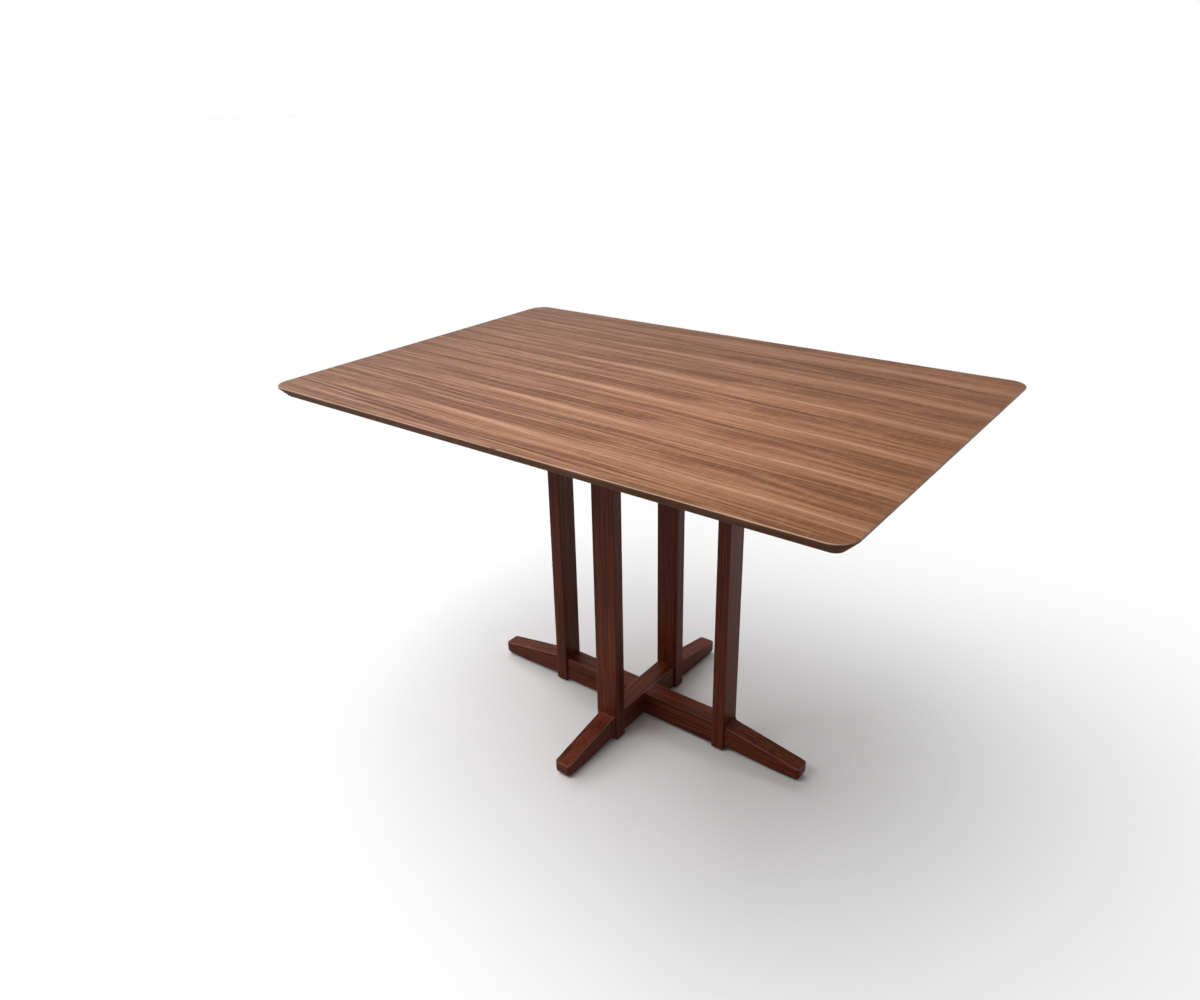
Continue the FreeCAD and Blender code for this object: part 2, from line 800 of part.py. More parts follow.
upper_back = upper_face + s.slab_thickness
pivot_across = (fold_edge - s.fold_gap / 2) / 2
pivot_level = (upper_face + s.table_height) / 2
arms = []
pivot_pins = []
brackets = []
tabs = []
rests = []
bracket_near = s.bearer_centre - s.bearer_width / 2 + s.bracket_inset
for side in SIDES:
    lug_far = leaf_half - s.pivot_lug_inset
    lug_near = lug_far - s.pivot_lug_thickness
    lug = span(side, lug_near, lug_far)
    name = f"pivot_arm_{len(arms)}"
    flange = block(name + "_flange", span(side, lug_far - s.pivot_flange_length, lug_far),
                   (pivot_across - s.pivot_flange_width / 2, pivot_across + s.pivot_flange_width / 2),
                   (upper_back, upper_back + s.plate_thickness))
    web = block(name + "_web", lug,
                (pivot_across - s.pivot_lug_radius, pivot_across + s.pivot_lug_radius),
                (upper_back, pivot_level))
    eye = rod(name + "_eye", "x", (lug[0], pivot_across, pivot_level),
              s.pivot_lug_thickness, s.pivot_lug_radius)
    hole = rod(name + "_hole", "x", (lug[0] - s.overrun, pivot_across, pivot_level),
               s.pivot_lug_thickness + 2 * s.overrun, s.pivot_pin_radius + s.running_play)
    arms.append(cut(name, fused(name + "_stock", [flange, web, eye]), [hole]))

    bracket_far = bracket_near + s.bracket_thickness
    pin = span(side, lug_near - s.knuckle_play, bracket_far)
    head = span(side, lug_near - s.knuckle_play - s.pivot_head_length, lug_near - s.knuckle_play)
    pivot_pins.append(fused(f"pivot_pin_{len(pivot_pins)}", [
        rod(f"pivot_shank_{len(pivot_pins)}", "x", (pin[0], pivot_across, pivot_level),
            pin[1] - pin[0], s.pivot_pin_radius),
        rod(f"pivot_head_{len(pivot_pins)}", "x", (head[0], pivot_across, pivot_level),
            s.pivot_head_length, s.pivot_head_radius),
    ]))

    name = f"pivot_bracket_{len(brackets)}"
    wide = (pivot_across - s.bracket_width / 2, pivot_across + s.bracket_width / 2)
    wall = span(side, bracket_near, bracket_far)
    upright = block(name + "_upright", wall, wide, (runner_low, pivot_level + s.bracket_crown))
    foot = block(name + "_foot", span(side, bracket_near, bracket_near + s.bracket_foot), wide,
                 (runner_low, runner_low + s.bracket_thickness))
    bore = rod(name + "_bore", "x", (wall[0] - s.overrun, pivot_across, pivot_level),
               s.bracket_thickness + 2 * s.overrun, s.pivot_pin_radius)
    brackets.append(cut(name, fused(name + "_stock", [upright, foot]), [bore]))

    tabs.append(block(f"rest_tab_{len(tabs)}",
                      span(side, leaf_half - s.tab_grip, bracket_near + s.rest_length),
                      (rest_place - s.tab_width / 2, rest_place + s.tab_width / 2),
                      (upper_back, upper_back + s.plate_thickness)))
    rests.append(block(f"rest_block_{len(rests)}",
                       span(side, bracket_near, bracket_near + s.rest_length),
                       (rest_place - s.rest_width / 2, rest_place + s.rest_width / 2),
                       (runner_low, upper_back)))
group("leaf_pivot_arms", arms)
group("leaf_pivot_pins", pivot_pins)
group("leaf_pivot_brackets", brackets)
group("leaf_rest_tabs", tabs)
group("leaf_rest_blocks", rests)


# Bolts and screws of the base

post_spots = []
for end in SIDES:
    post_spots.append((end * s.long_post_centre, 0))
    post_spots.append((0, end * s.cross_post_centre))
bolts("post_bolts", "z", [(x, y, s.arch_height) for x, y in post_spots],
      s.beam_top - s.arch_height + s.timber_bite)
bolts("crossing_bolt", "z", [(0, 0, s.arch_height)], s.beam_top - s.arch_height - s.bolt_head_depth)
bolts("rail_bolts", "-z", [(x, y, bearer_low) for x, y in post_spots], s.rail_height + s.timber_bite)

bearer_starts = []
runner_starts = []
for end in SIDES:
    for edge in SIDES:
        bearer_starts.append((end * s.bearer_centre, edge * s.bearer_screw_spread, runner_low))
        runner_starts.append((end * s.bearer_centre, edge * runner_centre, runner_low + s.runner_height))
wood_screws("bearer_screws", "-z", bearer_starts, s.bearer_height + s.timber_bite)
wood_screws("runner_screws", "-z", runner_starts, s.runner_height + s.bearer_end_height)

doc.recompute()

# Nothing is written unless every object and every shape is sound
for thing in doc.Objects:
    if "Invalid" in thing.State or "Error" in thing.State:
        raise ValueError(thing.Label + " did not recompute")
for node_name, thing in nodes.items():
    if thing.Shape.isNull() or not thing.Shape.isValid():
        raise ValueError(node_name + " has no sound shape")

os.makedirs("parts", exist_ok=True)
for node_name, thing in nodes.items():
    thing.Shape.exportStep(os.path.join("parts", node_name + ".step"))
    print(node_name, len(thing.Shape.Solids), round(thing.Shape.Volume))
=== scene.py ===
# %% [markdown]
# A dining table whose top parts in the middle for a folding leaf, on a crossed
# pedestal. The construction already exists as a frame of solid pieces, so this
# lesson adds what the eye sees: the woods, the metals, the light and the camera.
# Everything is in metres, with +X along the table and the floor at zero.

# %% Load the frame
import json
import math
import bpy
from mathutils import Matrix, Vector


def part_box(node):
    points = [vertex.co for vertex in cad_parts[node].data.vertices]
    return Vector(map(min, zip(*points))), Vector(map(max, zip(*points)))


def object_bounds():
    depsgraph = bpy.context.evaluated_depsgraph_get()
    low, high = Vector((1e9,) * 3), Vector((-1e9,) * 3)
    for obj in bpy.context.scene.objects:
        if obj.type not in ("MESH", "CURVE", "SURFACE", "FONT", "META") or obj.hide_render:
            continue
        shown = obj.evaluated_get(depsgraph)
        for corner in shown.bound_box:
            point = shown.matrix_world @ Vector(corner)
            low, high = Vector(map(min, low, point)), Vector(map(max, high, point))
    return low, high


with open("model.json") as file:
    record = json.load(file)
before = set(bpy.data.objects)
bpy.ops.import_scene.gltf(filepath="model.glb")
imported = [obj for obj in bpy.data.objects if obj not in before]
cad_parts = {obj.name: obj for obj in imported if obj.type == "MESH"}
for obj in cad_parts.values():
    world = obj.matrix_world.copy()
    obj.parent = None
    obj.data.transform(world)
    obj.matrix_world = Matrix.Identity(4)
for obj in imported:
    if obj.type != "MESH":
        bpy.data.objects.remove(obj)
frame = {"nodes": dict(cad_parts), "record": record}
cad_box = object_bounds()
pieces = frame["nodes"]

# %% [markdown]
# Colours are written as they look on a screen, in sRGB hex. Shaders add up light,
# so they want linear values, and one function turns the first into the second.
# The sRGB curve has a straight foot for the darkest levels and a power above it.

# %% Colours
def linear(hex_code):
    """Turns a colour such as #96694f into linear red, green, blue and alpha."""
    levels = [int(hex_code[at:at + 2], 16) / 255 for at in (1, 3, 5)]
    return (*(level / 12.92 if level <= 0.04045 else ((level + 0.055) / 1.055) ** 2.4
              for level in levels), 1.0)


print("mid walnut in linear light:", [round(level, 3) for level in linear("#96694f")])

# %% [markdown]
# A material is a small graph of nodes. One function adds a node, sets it up and
# links its inputs, whatever kind of node it is: an input that is another node's
# output becomes a link, and anything else becomes a fixed value.

# %% Adding a node
# Sockets of the Mix node when it mixes colours
FACTOR, FIRST, SECOND, MIXED = 0, 6, 7, 2
MM_PER_M = 1000.0


def add(tree, kind, inputs=None, out=0, **settings):
    """Adds a node and returns the output that the next node needs."""
    made = tree.nodes.new("ShaderNode" + kind)
    for name, value in settings.items():
        setattr(made, name, value)
    for socket, value in (inputs or {}).items():
        if isinstance(value, bpy.types.NodeSocket):
            tree.links.new(value, made.inputs[socket])
        else:
            made.inputs[socket].default_value = value
    return made.outputs[out]


def start_material(name):
    """An empty material with its shader, for the cells below to fill."""
    material = bpy.data.materials.new(name)
    material.use_nodes = True
    return material, material.node_tree, material.node_tree.nodes["Principled BSDF"]


print("node adder ready")

# %% [markdown]
# The top is walnut veneer. Its strips are cut one after the other from the same
# log and laid side by side without turning, which is called slip matching, so
# the same figure comes back every 131 mm. It could be painted as one noise over
# the whole top, but then nothing would repeat and it would read as one wide board.
# So the place across the top is first folded into the place within a strip, from
# 0 to 1. Each strip also slips a little further into the log than the last one.

# %% Veneer strips
STRIP_MM = 131.0
SLIP_PER_STRIP = 0.16

back_edge = cad_box[1][1]
veneer, tree, veneer_shader = start_material("walnut_veneer_slip_matched_satin_lacquer")
place = add(tree, "TexCoord", out="Object")
along, across, level = add(tree, "SeparateXYZ", {0: place}).node.outputs
strips_per_m = MM_PER_M / STRIP_MM
strip_count = add(tree, "Math", {0: across, 1: -strips_per_m, 2: back_edge * strips_per_m},
                  operation="MULTIPLY_ADD")
strip = add(tree, "Math", {0: strip_count}, operation="FLOOR")
within = add(tree, "Math", {0: strip_count}, operation="FRACT")
slip = add(tree, "Math", {0: strip, 1: SLIP_PER_STRIP}, operation="MULTIPLY")
print("veneer strips:", round(2 * back_edge * strips_per_m, 1), "of", STRIP_MM, "mm")

# %% [markdown]
# The log was not quite straight, so the lines of the figure lean across the strip,
# bend more at the right end and waver a little. They could be drawn as curves, but
# it is simpler to bend the place that every later pattern is drawn in. A noise
# that is drawn out along the veneer gives the waver, and fibre and streaks later.

# %% Lean, bend and waver
LEAN_PER_M = 0.27
BEND_START_M, BEND_END_M = 0.2, 0.6
BEND = 0.08
WAVER_MM = (300.0, 60.0)
WAVER_LOW, WAVER_HIGH = 0.2, 0.8
WAVER = 0.035


def veneer_noise(across_strip, size_mm, detail, roughness=0.5):
    """Noise of a given size along and across the veneer, a little different in each strip."""
    drawn_out = add(tree, "CombineXYZ", {
        "X": add(tree, "Math", {0: along, 1: MM_PER_M / size_mm[0]}, operation="MULTIPLY"),
        "Y": add(tree, "Math", {0: across_strip, 1: STRIP_MM / size_mm[1]}, operation="MULTIPLY"),
        "Z": slip})
    return add(tree, "TexNoise", {"Vector": drawn_out, "Scale": 1.0, "Detail": detail,
                                  "Roughness": roughness}, out="Fac")


wavering = add(tree, "MapRange", {"Value": veneer_noise(within, WAVER_MM, detail=1.0),
                                  "From Min": WAVER_LOW, "From Max": WAVER_HIGH,
                                  "To Min": -WAVER, "To Max": WAVER})
bend_share = add(tree, "MapRange", {"Value": along, "From Min": BEND_START_M, "From Max": BEND_END_M})
bend_square = add(tree, "Math", {0: bend_share, 1: bend_share}, operation="MULTIPLY")
leaning = add(tree, "Math", {0: along, 1: LEAN_PER_M, 2: wavering}, operation="MULTIPLY_ADD")
bending = add(tree, "Math", {0: bend_square, 1: BEND, 2: leaning}, operation="MULTIPLY_ADD")
figure = add(tree, "Math", {0: within, 1: bending}, operation="SUBTRACT")
print("figure leans", round(LEAN_PER_M * STRIP_MM), "mm in each metre")

# %% [markdown]
# A veneer knife cuts near the heart of the log at some places and further from it
# at others. With the knife's distance from the heart as one side of a right
# triangle and the place across the strip as the other, the long side is the
# growth ring that is met there. That one sum gives straight lines at the strip's
# edges and pointed lenses over the heart, wherever the log swells.

# %% Growth rings
SWELL_MM = 240.0
SWELL_AT_M = 0.105
SWELL_TURN_PER_STRIP = 0.22
SWELL_DEPTH = 0.17
# The left part of the log hardly swells
CALM_M, SWOLLEN_M, CALM_SHARE = -0.15, 0.1, 0.15
HEART_PLACE = 0.17
HEART_LEAN_PER_M = 0.31
RING_MM = 5.0

turn_per_m = 2 * math.pi * MM_PER_M / SWELL_MM
strip_turn = add(tree, "Math", {0: strip, 1: SWELL_TURN_PER_STRIP, 2: -SWELL_AT_M * turn_per_m},
                 operation="MULTIPLY_ADD")
swell_turn = add(tree, "Math", {0: along, 1: turn_per_m, 2: strip_turn}, operation="MULTIPLY_ADD")
swell = add(tree, "Math", {0: swell_turn}, operation="COSINE")
knife = add(tree, "MapRange", {"Value": swell, "From Min": 1.0, "From Max": -1.0, "To Max": SWELL_DEPTH})
swollen = add(tree, "MapRange", {"Value": along, "From Min": CALM_M, "From Max": SWOLLEN_M,
                                 "To Min": CALM_SHARE})
heart_gap = add(tree, "Math", {0: knife, 1: swollen}, operation="MULTIPLY")
heart_line = add(tree, "Math", {0: along, 1: HEART_LEAN_PER_M, 2: within}, operation="MULTIPLY_ADD")
off_heart_line = add(tree, "Math", {0: heart_line, 1: HEART_PLACE}, operation="SUBTRACT")
from_heart = add(tree, "Math", {0: off_heart_line, 1: wavering}, operation="SUBTRACT")
heart_square = add(tree, "Math", {0: heart_gap, 1: heart_gap}, operation="MULTIPLY")
ring_square = add(tree, "Math", {0: from_heart, 1: from_heart, 2: heart_square},
                  operation="MULTIPLY_ADD")
ring = add(tree, "Math", {0: ring_square}, operation="SQRT")
ring_place = add(tree, "Math", {0: ring, 1: STRIP_MM / RING_MM, 2: slip}, operation="MULTIPLY_ADD")
ring_lines = add(tree, "TexNoise", {"W": ring_place, "Scale": 1.0, "Detail": 2.0, "Roughness": 0.62},
                 noise_dimensions="1D", out="Fac")
print("rings every", RING_MM, "mm, swellings every", SWELL_MM, "mm")

# %% [markdown]
# Across a strip, walnut shows a light streak of younger wood with a glow round it,
# a group of fine dark lines and a brown heart with dark rings. Each could be its
# own texture. Here each is a mask from 0 to 1, worked out from the distance to its
# place in the strip or from the ring that is met there.

# %% Streak, heart and rings
STREAK_PLACE, STREAK_HALF, GLOW_HALF = 0.43, 0.055, 0.24
GROUP_PLACE, GROUP_HALF, GROUP_CORE = 0.86, 0.15, 0.05
HEART_EDGE, HEART_CORE = 0.16, 0.09
RINGS_EDGE, RINGS_CORE = 0.36, 0.12
RING_STARTS, RING_FULL = 0.52, 0.7

off_streak, off_group = (
    add(tree, "Math", {0: add(tree, "Math", {0: figure, 1: middle}, operation="SUBTRACT")},
        operation="ABSOLUTE")
    for middle in (STREAK_PLACE, GROUP_PLACE))
streak, glow, group, heart = (
    add(tree, "MapRange", {"Value": distance, "From Min": edge, "From Max": core},
        interpolation_type="SMOOTHSTEP")
    for distance, edge, core in ((off_streak, STREAK_HALF, 0.0), (off_streak, GLOW_HALF, 0.0),
                                 (off_group, GROUP_HALF, GROUP_CORE), (ring, HEART_EDGE, HEART_CORE)))
near_heart = add(tree, "MapRange", {"Value": ring, "From Min": RINGS_EDGE, "From Max": RINGS_CORE})
dark_rings = add(tree, "Math", {0: near_heart, 1: add(tree, "MapRange", {
    "Value": ring_lines, "From Min": RING_STARTS, "From Max": RING_FULL})}, operation="MULTIPLY")
print("streak", round(2 * STREAK_HALF * STRIP_MM), "mm wide in each strip")

# %% [markdown]
# Along the strip run soft stripes of fibre, hair lines and wide dark bands that
# fade in and out. Across them lie short pores that catch the stain and a faint
# ripple. The pores of the real wood are a third of a millimetre wide, too fine for
# this picture, so they are drawn about four times as coarse. A noise is cut at two
# levels: a mark starts to show at the first and is full at the second.

# %% Fibre, lines, bands and pores
FIBRE_MM = (300.0, 5.2)
GROUP_LINE_MM = (600.0, 6.0)
GROUP_LINE_STARTS, GROUP_LINE_FULL = 0.47, 0.62
HAIR_MM = (420.0, 2.4)
HAIR_STARTS, HAIR_FULL = 0.54, 0.68
BAND_MM = (700.0, 14.0)
BAND_STARTS, BAND_FULL = 0.49, 0.66
# The bands lie in the left half and in the back half
BAND_LEFT_M, BAND_BACK_M = -0.4, 0.25
PORE_MM = (30.0, 1.3)
PORE_STARTS, PORE_FULL = 0.56, 0.74
RIPPLE_MM = (9.0, 30.0)


def grain_noise(tree, place, size_mm, detail, distortion=0.0):
    """Noise that fills space, of a given size along the grain and across it."""
    stretch = (MM_PER_M / size_mm[0], MM_PER_M / size_mm[1], MM_PER_M / size_mm[1])
    return add(tree, "TexNoise", {
        "Vector": add(tree, "Mapping", {"Vector": place, "Scale": stretch}),
        "Scale": 1.0, "Detail": detail, "Distortion": distortion}, out="Fac")


fibre = veneer_noise(figure, FIBRE_MM, detail=4.0, roughness=0.7)
group_line, hair, band, pore = (
    add(tree, "MapRange", {"Value": noise, "From Min": starts, "From Max": full})
    for noise, starts, full in (
        (veneer_noise(figure, GROUP_LINE_MM, detail=1.0), GROUP_LINE_STARTS, GROUP_LINE_FULL),
        (veneer_noise(figure, HAIR_MM, detail=1.0), HAIR_STARTS, HAIR_FULL),
        (veneer_noise(figure, BAND_MM, detail=2.0), BAND_STARTS, BAND_FULL),
        (grain_noise(tree, place, PORE_MM, detail=1.0), PORE_STARTS, PORE_FULL)))
dark_group = add(tree, "Math", {0: group, 1: group_line}, operation="MULTIPLY")
outer = add(tree, "Math", {
    0: add(tree, "MapRange", {"Value": along, "From Min": 0.0, "From Max": BAND_LEFT_M}),
    1: add(tree, "MapRange", {"Value": across, "From Min": 0.0, "From Max": BAND_BACK_M})},
    operation="MAXIMUM")
outer_bands = add(tree, "Math", {0: outer, 1: band}, operation="MULTIPLY")
ripple = grain_noise(tree, place, RIPPLE_MM, detail=2.0, distortion=0.6)
print("pores drawn", PORE_MM[1], "mm wide")

# %% [markdown]
# The layers are mixed from the ground up: the fibre's two browns, warmer towards
# the right end, then the pale glow, the heart, the rings, the hair lines, the
# streak where the fibre lets it through, the group of dark lines, the bands, the
# pores and a faint ripple. Mixing by masks keeps each colour easy to change.

# %% Veneer colour
FIBRE_DEEP, FIBRE_PALE = 0.34, 0.64
COOL_END_M, WARM_END_M = -0.6, 0.6
STREAK_BROKEN, STREAK_WHOLE, STREAK_LEAST = 0.36, 0.6, 0.1
RIPPLE_STARTS, RIPPLE_FULL, RIPPLE_SHARE = 0.48, 0.75, 0.16

fibre_tone = add(tree, "MapRange", {"Value": fibre, "From Min": FIBRE_DEEP, "From Max": FIBRE_PALE})
warmth = add(tree, "MapRange", {"Value": along, "From Min": COOL_END_M, "From Max": WARM_END_M})
unbroken = add(tree, "MapRange", {"Value": fibre, "From Min": STREAK_BROKEN, "From Max": STREAK_WHOLE,
                                  "To Min": STREAK_LEAST})
broken_streak = add(tree, "Math", {0: streak, 1: unbroken}, operation="MULTIPLY")
deep_brown = add(tree, "Mix", {FACTOR: warmth, FIRST: linear("#7a4c33"), SECOND: linear("#6b3a1d")},
                 out=MIXED, data_type="RGBA")
mid_brown = add(tree, "Mix", {FACTOR: warmth, FIRST: linear("#c9997d"), SECOND: linear("#b98159")},
                out=MIXED, data_type="RGBA")
colour = add(tree, "Mix", {FACTOR: fibre_tone, FIRST: deep_brown, SECOND: mid_brown},
             out=MIXED, data_type="RGBA")
# Each layer: how much of it shows, where it lies and its colour
for share, mask, hex_code in (
        (0.4, glow, "#c08d6d"), (0.55, heart, "#744626"), (0.45, dark_rings, "#5c3119"),
        (0.55, hair, "#5c2f1a"), (0.45, broken_streak, "#dcae92"), (0.75, dark_group, "#522712"),
        (0.65, outer_bands, "#5c341e"), (0.45, pore, "#452413")):
    weight = add(tree, "Math", {0: mask, 1: share}, operation="MULTIPLY")
    colour = add(tree, "Mix", {FACTOR: weight, FIRST: colour, SECOND: linear(hex_code)},
                 out=MIXED, data_type="RGBA")
rippled = add(tree, "MapRange", {"Value": ripple, "From Min": RIPPLE_STARTS, "From Max": RIPPLE_FULL,
                                 "To Max": RIPPLE_SHARE})
colour = add(tree, "Mix", {FACTOR: rippled, FIRST: colour, SECOND: linear("#c0937a")},
             out=MIXED, data_type="RGBA")
print("veneer colour nodes:", len(tree.nodes))

# %% [markdown]
# Three things change the veneer towards the edge of the top. Strips at the back and
# at both ends are darker; at the back and the right end this is partly the wood's
# own tone and partly painted shade, where the light falls off away from the front
# left. The bevel under the edge and the upright land get painted shade, darker
# still. Between them runs a pale rim, a painted highlight along the arris, weaker
# at the ends and missing at the seam. They could be separate materials on separate
# faces, but the way a face looks tells them apart: the upward part of its normal is
# 1 on the top, 0 on the land and -1 underneath.

# %% Dark ends, painted edge shade and painted rim highlight
# Where the darker tone and painted shade start and are full, in metres, and how much of it shows
DARK_TONE_AND_SHADE = ((across, 0.0, 0.4, 0.3), (along, 0.3, 0.6, 0.3), (along, -0.45, -0.6, 0.25))
# Upward parts of the normal between which a mark fades in, and then out again:
# painted shade on the bevel and land, painted highlight on the rim
EDGE_SHADE_IN, EDGE_SHADE_OUT, EDGE_SHADE_SHARE = (-0.95, -0.8), (0.2, 0.05), 0.6
RIM_IN, RIM_OUT, RIM_SHARE = (0.1, 0.25), (0.99, 0.93), 0.55
SEAM_CLEAR_M, SEAM_PAST_M = 0.004, 0.008
RIM_FADE_M, RIM_END_M, RIM_END_SHARE = 0.57, 0.594, 0.25


def facing_band(tree, upward, fade_in, fade_out):
    """Marks the faces that look up by more than one share and less than another."""
    above = add(tree, "MapRange", {"Value": upward, "From Min": fade_in[0], "From Max": fade_in[1]})
    below = add(tree, "MapRange", {"Value": upward, "From Min": fade_out[0], "From Max": fade_out[1]})
    return add(tree, "Math", {0: above, 1: below}, operation="MULTIPLY")


tone_and_shade = 0.0
for way, starts, full, share in DARK_TONE_AND_SHADE:
    tone_and_shade_step = add(tree, "MapRange", {"Value": way, "From Min": starts, "From Max": full, "To Max": share})
    tone_and_shade = add(tree, "Math", {0: tone_and_shade_step, 1: tone_and_shade}, operation="MAXIMUM")
upward = add(tree, "SeparateXYZ", {0: add(tree, "NewGeometry", out="Normal")}, out="Z")
# Painted shade on the bevel and the land, which look down or sideways
painted_edge_shade = add(tree, "Math", {0: facing_band(tree, upward, EDGE_SHADE_IN, EDGE_SHADE_OUT), 1: EDGE_SHADE_SHARE},
             operation="MULTIPLY")
off_middle = add(tree, "Math", {0: along}, operation="ABSOLUTE")
off_seam = add(tree, "MapRange", {"Value": off_middle, "From Min": SEAM_CLEAR_M,
                                  "From Max": SEAM_PAST_M, "To Max": RIM_SHARE})
off_ends = add(tree, "MapRange", {"Value": off_middle, "From Min": RIM_FADE_M, "From Max": RIM_END_M,
                                  "To Min": 1.0, "To Max": RIM_END_SHARE})
# The rim is a painted highlight, weaker at the ends and missing at the seam
rim_highlight_reach = add(tree, "Math", {0: off_seam, 1: off_ends}, operation="MULTIPLY")
rim = add(tree, "Math", {0: facing_band(tree, upward, RIM_IN, RIM_OUT), 1: rim_highlight_reach}, operation="MULTIPLY")
# Darker tone with painted shade at the back and ends, painted edge shade, painted rim highlight
for mask, hex_code in ((tone_and_shade, "#5a3a24"), (painted_edge_shade, "#44210f"), (rim, "#e6c4ae")):
    colour = add(tree, "Mix", {FACTOR: mask, FIRST: colour, SECOND: linear(hex_code)},
                 out=MIXED, data_type="RGBA")
tree.links.new(colour, veneer_shader.inputs["Base Color"])
print("edge marks: dark ends, edging, rim")

# %% [markdown]
# Lacquer gives the veneer a satin gloss, with the pores a little duller and sunk
# below the rest. The backs of the top and of the leaf are only sealed, so they are
# matt. One show face looks down too: that of the leaf's upper wing, which lies face
# down while it is stowed. Its level in the frame tells it apart from the backs.

# %% Veneer gloss
LACQUER_IOR = 1.5
SATIN_LEVEL = 0.2
SATIN_ROUGHNESS, PORE_ROUGHNESS = 0.34, 0.48
MATT_MORE = 0.5
MATT_STARTS, MATT_FULL = -0.2, -0.5
SHOW_FACE_NEAR_M, SHOW_FACE_PAST_M = 0.01, 0.015
PORE_DEPTH_M = 0.00012
PORE_RELIEF = 0.35

show_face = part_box("leaf_wing_upper")[0][2]
gloss = add(tree, "MapRange", {"Value": pore, "To Min": SATIN_ROUGHNESS, "To Max": PORE_ROUGHNESS})
above_show_face = add(tree, "Math", {0: level, 1: show_face}, operation="SUBTRACT")
off_show_face = add(tree, "Math", {0: above_show_face}, operation="ABSOLUTE")
matt = add(tree, "Math", {
    0: add(tree, "MapRange", {"Value": upward, "From Min": MATT_STARTS, "From Max": MATT_FULL}),
    1: add(tree, "MapRange", {"Value": off_show_face, "From Min": SHOW_FACE_NEAR_M,
                              "From Max": SHOW_FACE_PAST_M})}, operation="MULTIPLY")
tree.links.new(add(tree, "Math", {0: matt, 1: MATT_MORE, 2: gloss}, operation="MULTIPLY_ADD"),
               veneer_shader.inputs["Roughness"])
veneer_shader.inputs["IOR"].default_value = LACQUER_IOR
veneer_shader.inputs["Specular IOR Level"].default_value = SATIN_LEVEL
raised = add(tree, "Math", {0: 1.0, 1: pore}, operation="SUBTRACT")
tree.links.new(add(tree, "Bump", {"Strength": PORE_RELIEF, "Distance": PORE_DEPTH_M, "Height": raised}),
               veneer_shader.inputs["Normal"])
print("show face of the stowed leaf at", round(show_face, 3), "m")

# %% [markdown]
# The arrises of the pedestal get a pale painted highlight, where light would catch
# them. They could be cut as narrow faces with a paler material, but a bevel node
# finds them without a change to the mesh: it rounds the normal at every edge, and
# where the rounded normal departs from the flat one the highlight is painted.
# Rounded edges that look halfway up get the painted highlight as well.

# %% Painted highlight on the arrises
ARRIS_HIGHLIGHT_RADIUS_M = 0.0025
# Likeness of the rounded and the flat normal where the painted highlight starts and is full
ARRIS_HIGHLIGHT_STARTS, ARRIS_HIGHLIGHT_FULL, ARRIS_HIGHLIGHT_SHARE = 0.985, 0.88, 0.5
ARRIS_IN, ARRIS_OUT = (0.2, 0.4), (0.95, 0.85)


def arris_highlight_mask(tree):
    """Marks the arrises for a painted highlight: 1 there, 0 on the faces."""
    flat = add(tree, "NewGeometry", out="Normal")
    rounded = add(tree, "Bevel", {"Radius": ARRIS_HIGHLIGHT_RADIUS_M}, samples=4)
    alike = add(tree, "VectorMath", {0: rounded, 1: flat}, out="Value", operation="DOT_PRODUCT")
    rounded_apart = add(tree, "MapRange", {"Value": alike, "From Min": ARRIS_HIGHLIGHT_STARTS, "From Max": ARRIS_HIGHLIGHT_FULL})
    upward = add(tree, "SeparateXYZ", {0: flat}, out="Z")
    return add(tree, "Math", {0: rounded_apart, 1: facing_band(tree, upward, ARRIS_IN, ARRIS_OUT)},
               operation="MAXIMUM")


print("wear reaches", ARRIS_HIGHLIGHT_RADIUS_M * MM_PER_M, "mm from an arris")

# %% [markdown]
# The pedestal is solid walnut, planed and lacquered, darker than the veneer and
# with its grain along each stick. The same wood is needed along three directions,
# so its cell is a function of the direction, and the noise fills space, which lets
# the end grain show dots where the sides show lines. Its pores are drawn as coarse
# as those of the veneer.

# %% Solid walnut
GRAIN_AXES = {"x": (0.0, 0.0, 0.0), "y": (0.0, 0.0, -math.pi / 2), "z": (0.0, math.pi / 2, 0.0)}
STICK_RING_MM = (420.0, 9.0)
STICK_RING_STARTS, STICK_RING_FULL, STICK_RING_SHARE = 0.5, 0.66, 0.7
STICK_FIBRE_MM = (120.0, 2.4)
STICK_FIBRE_DEEP, STICK_FIBRE_PALE = 0.3, 0.7
STICK_PORE_MM = (22.0, 1.2)
STICK_PORE_STARTS, STICK_PORE_FULL, STICK_PORE_SHARE = 0.58, 0.74, 0.45
STICK_PORE_RELIEF = 0.4
STICK_DISTORTION = 0.25
STICK_SATIN_LEVEL = 0.12
STICK_ROUGHNESS = (0.34, 0.44)


def along_grain(tree, direction):
    """The place in the stick, turned so that its first axis runs along the grain."""
    return add(tree, "Mapping", {"Vector": add(tree, "TexCoord", out="Object"),
                                 "Rotation": GRAIN_AXES[direction]})


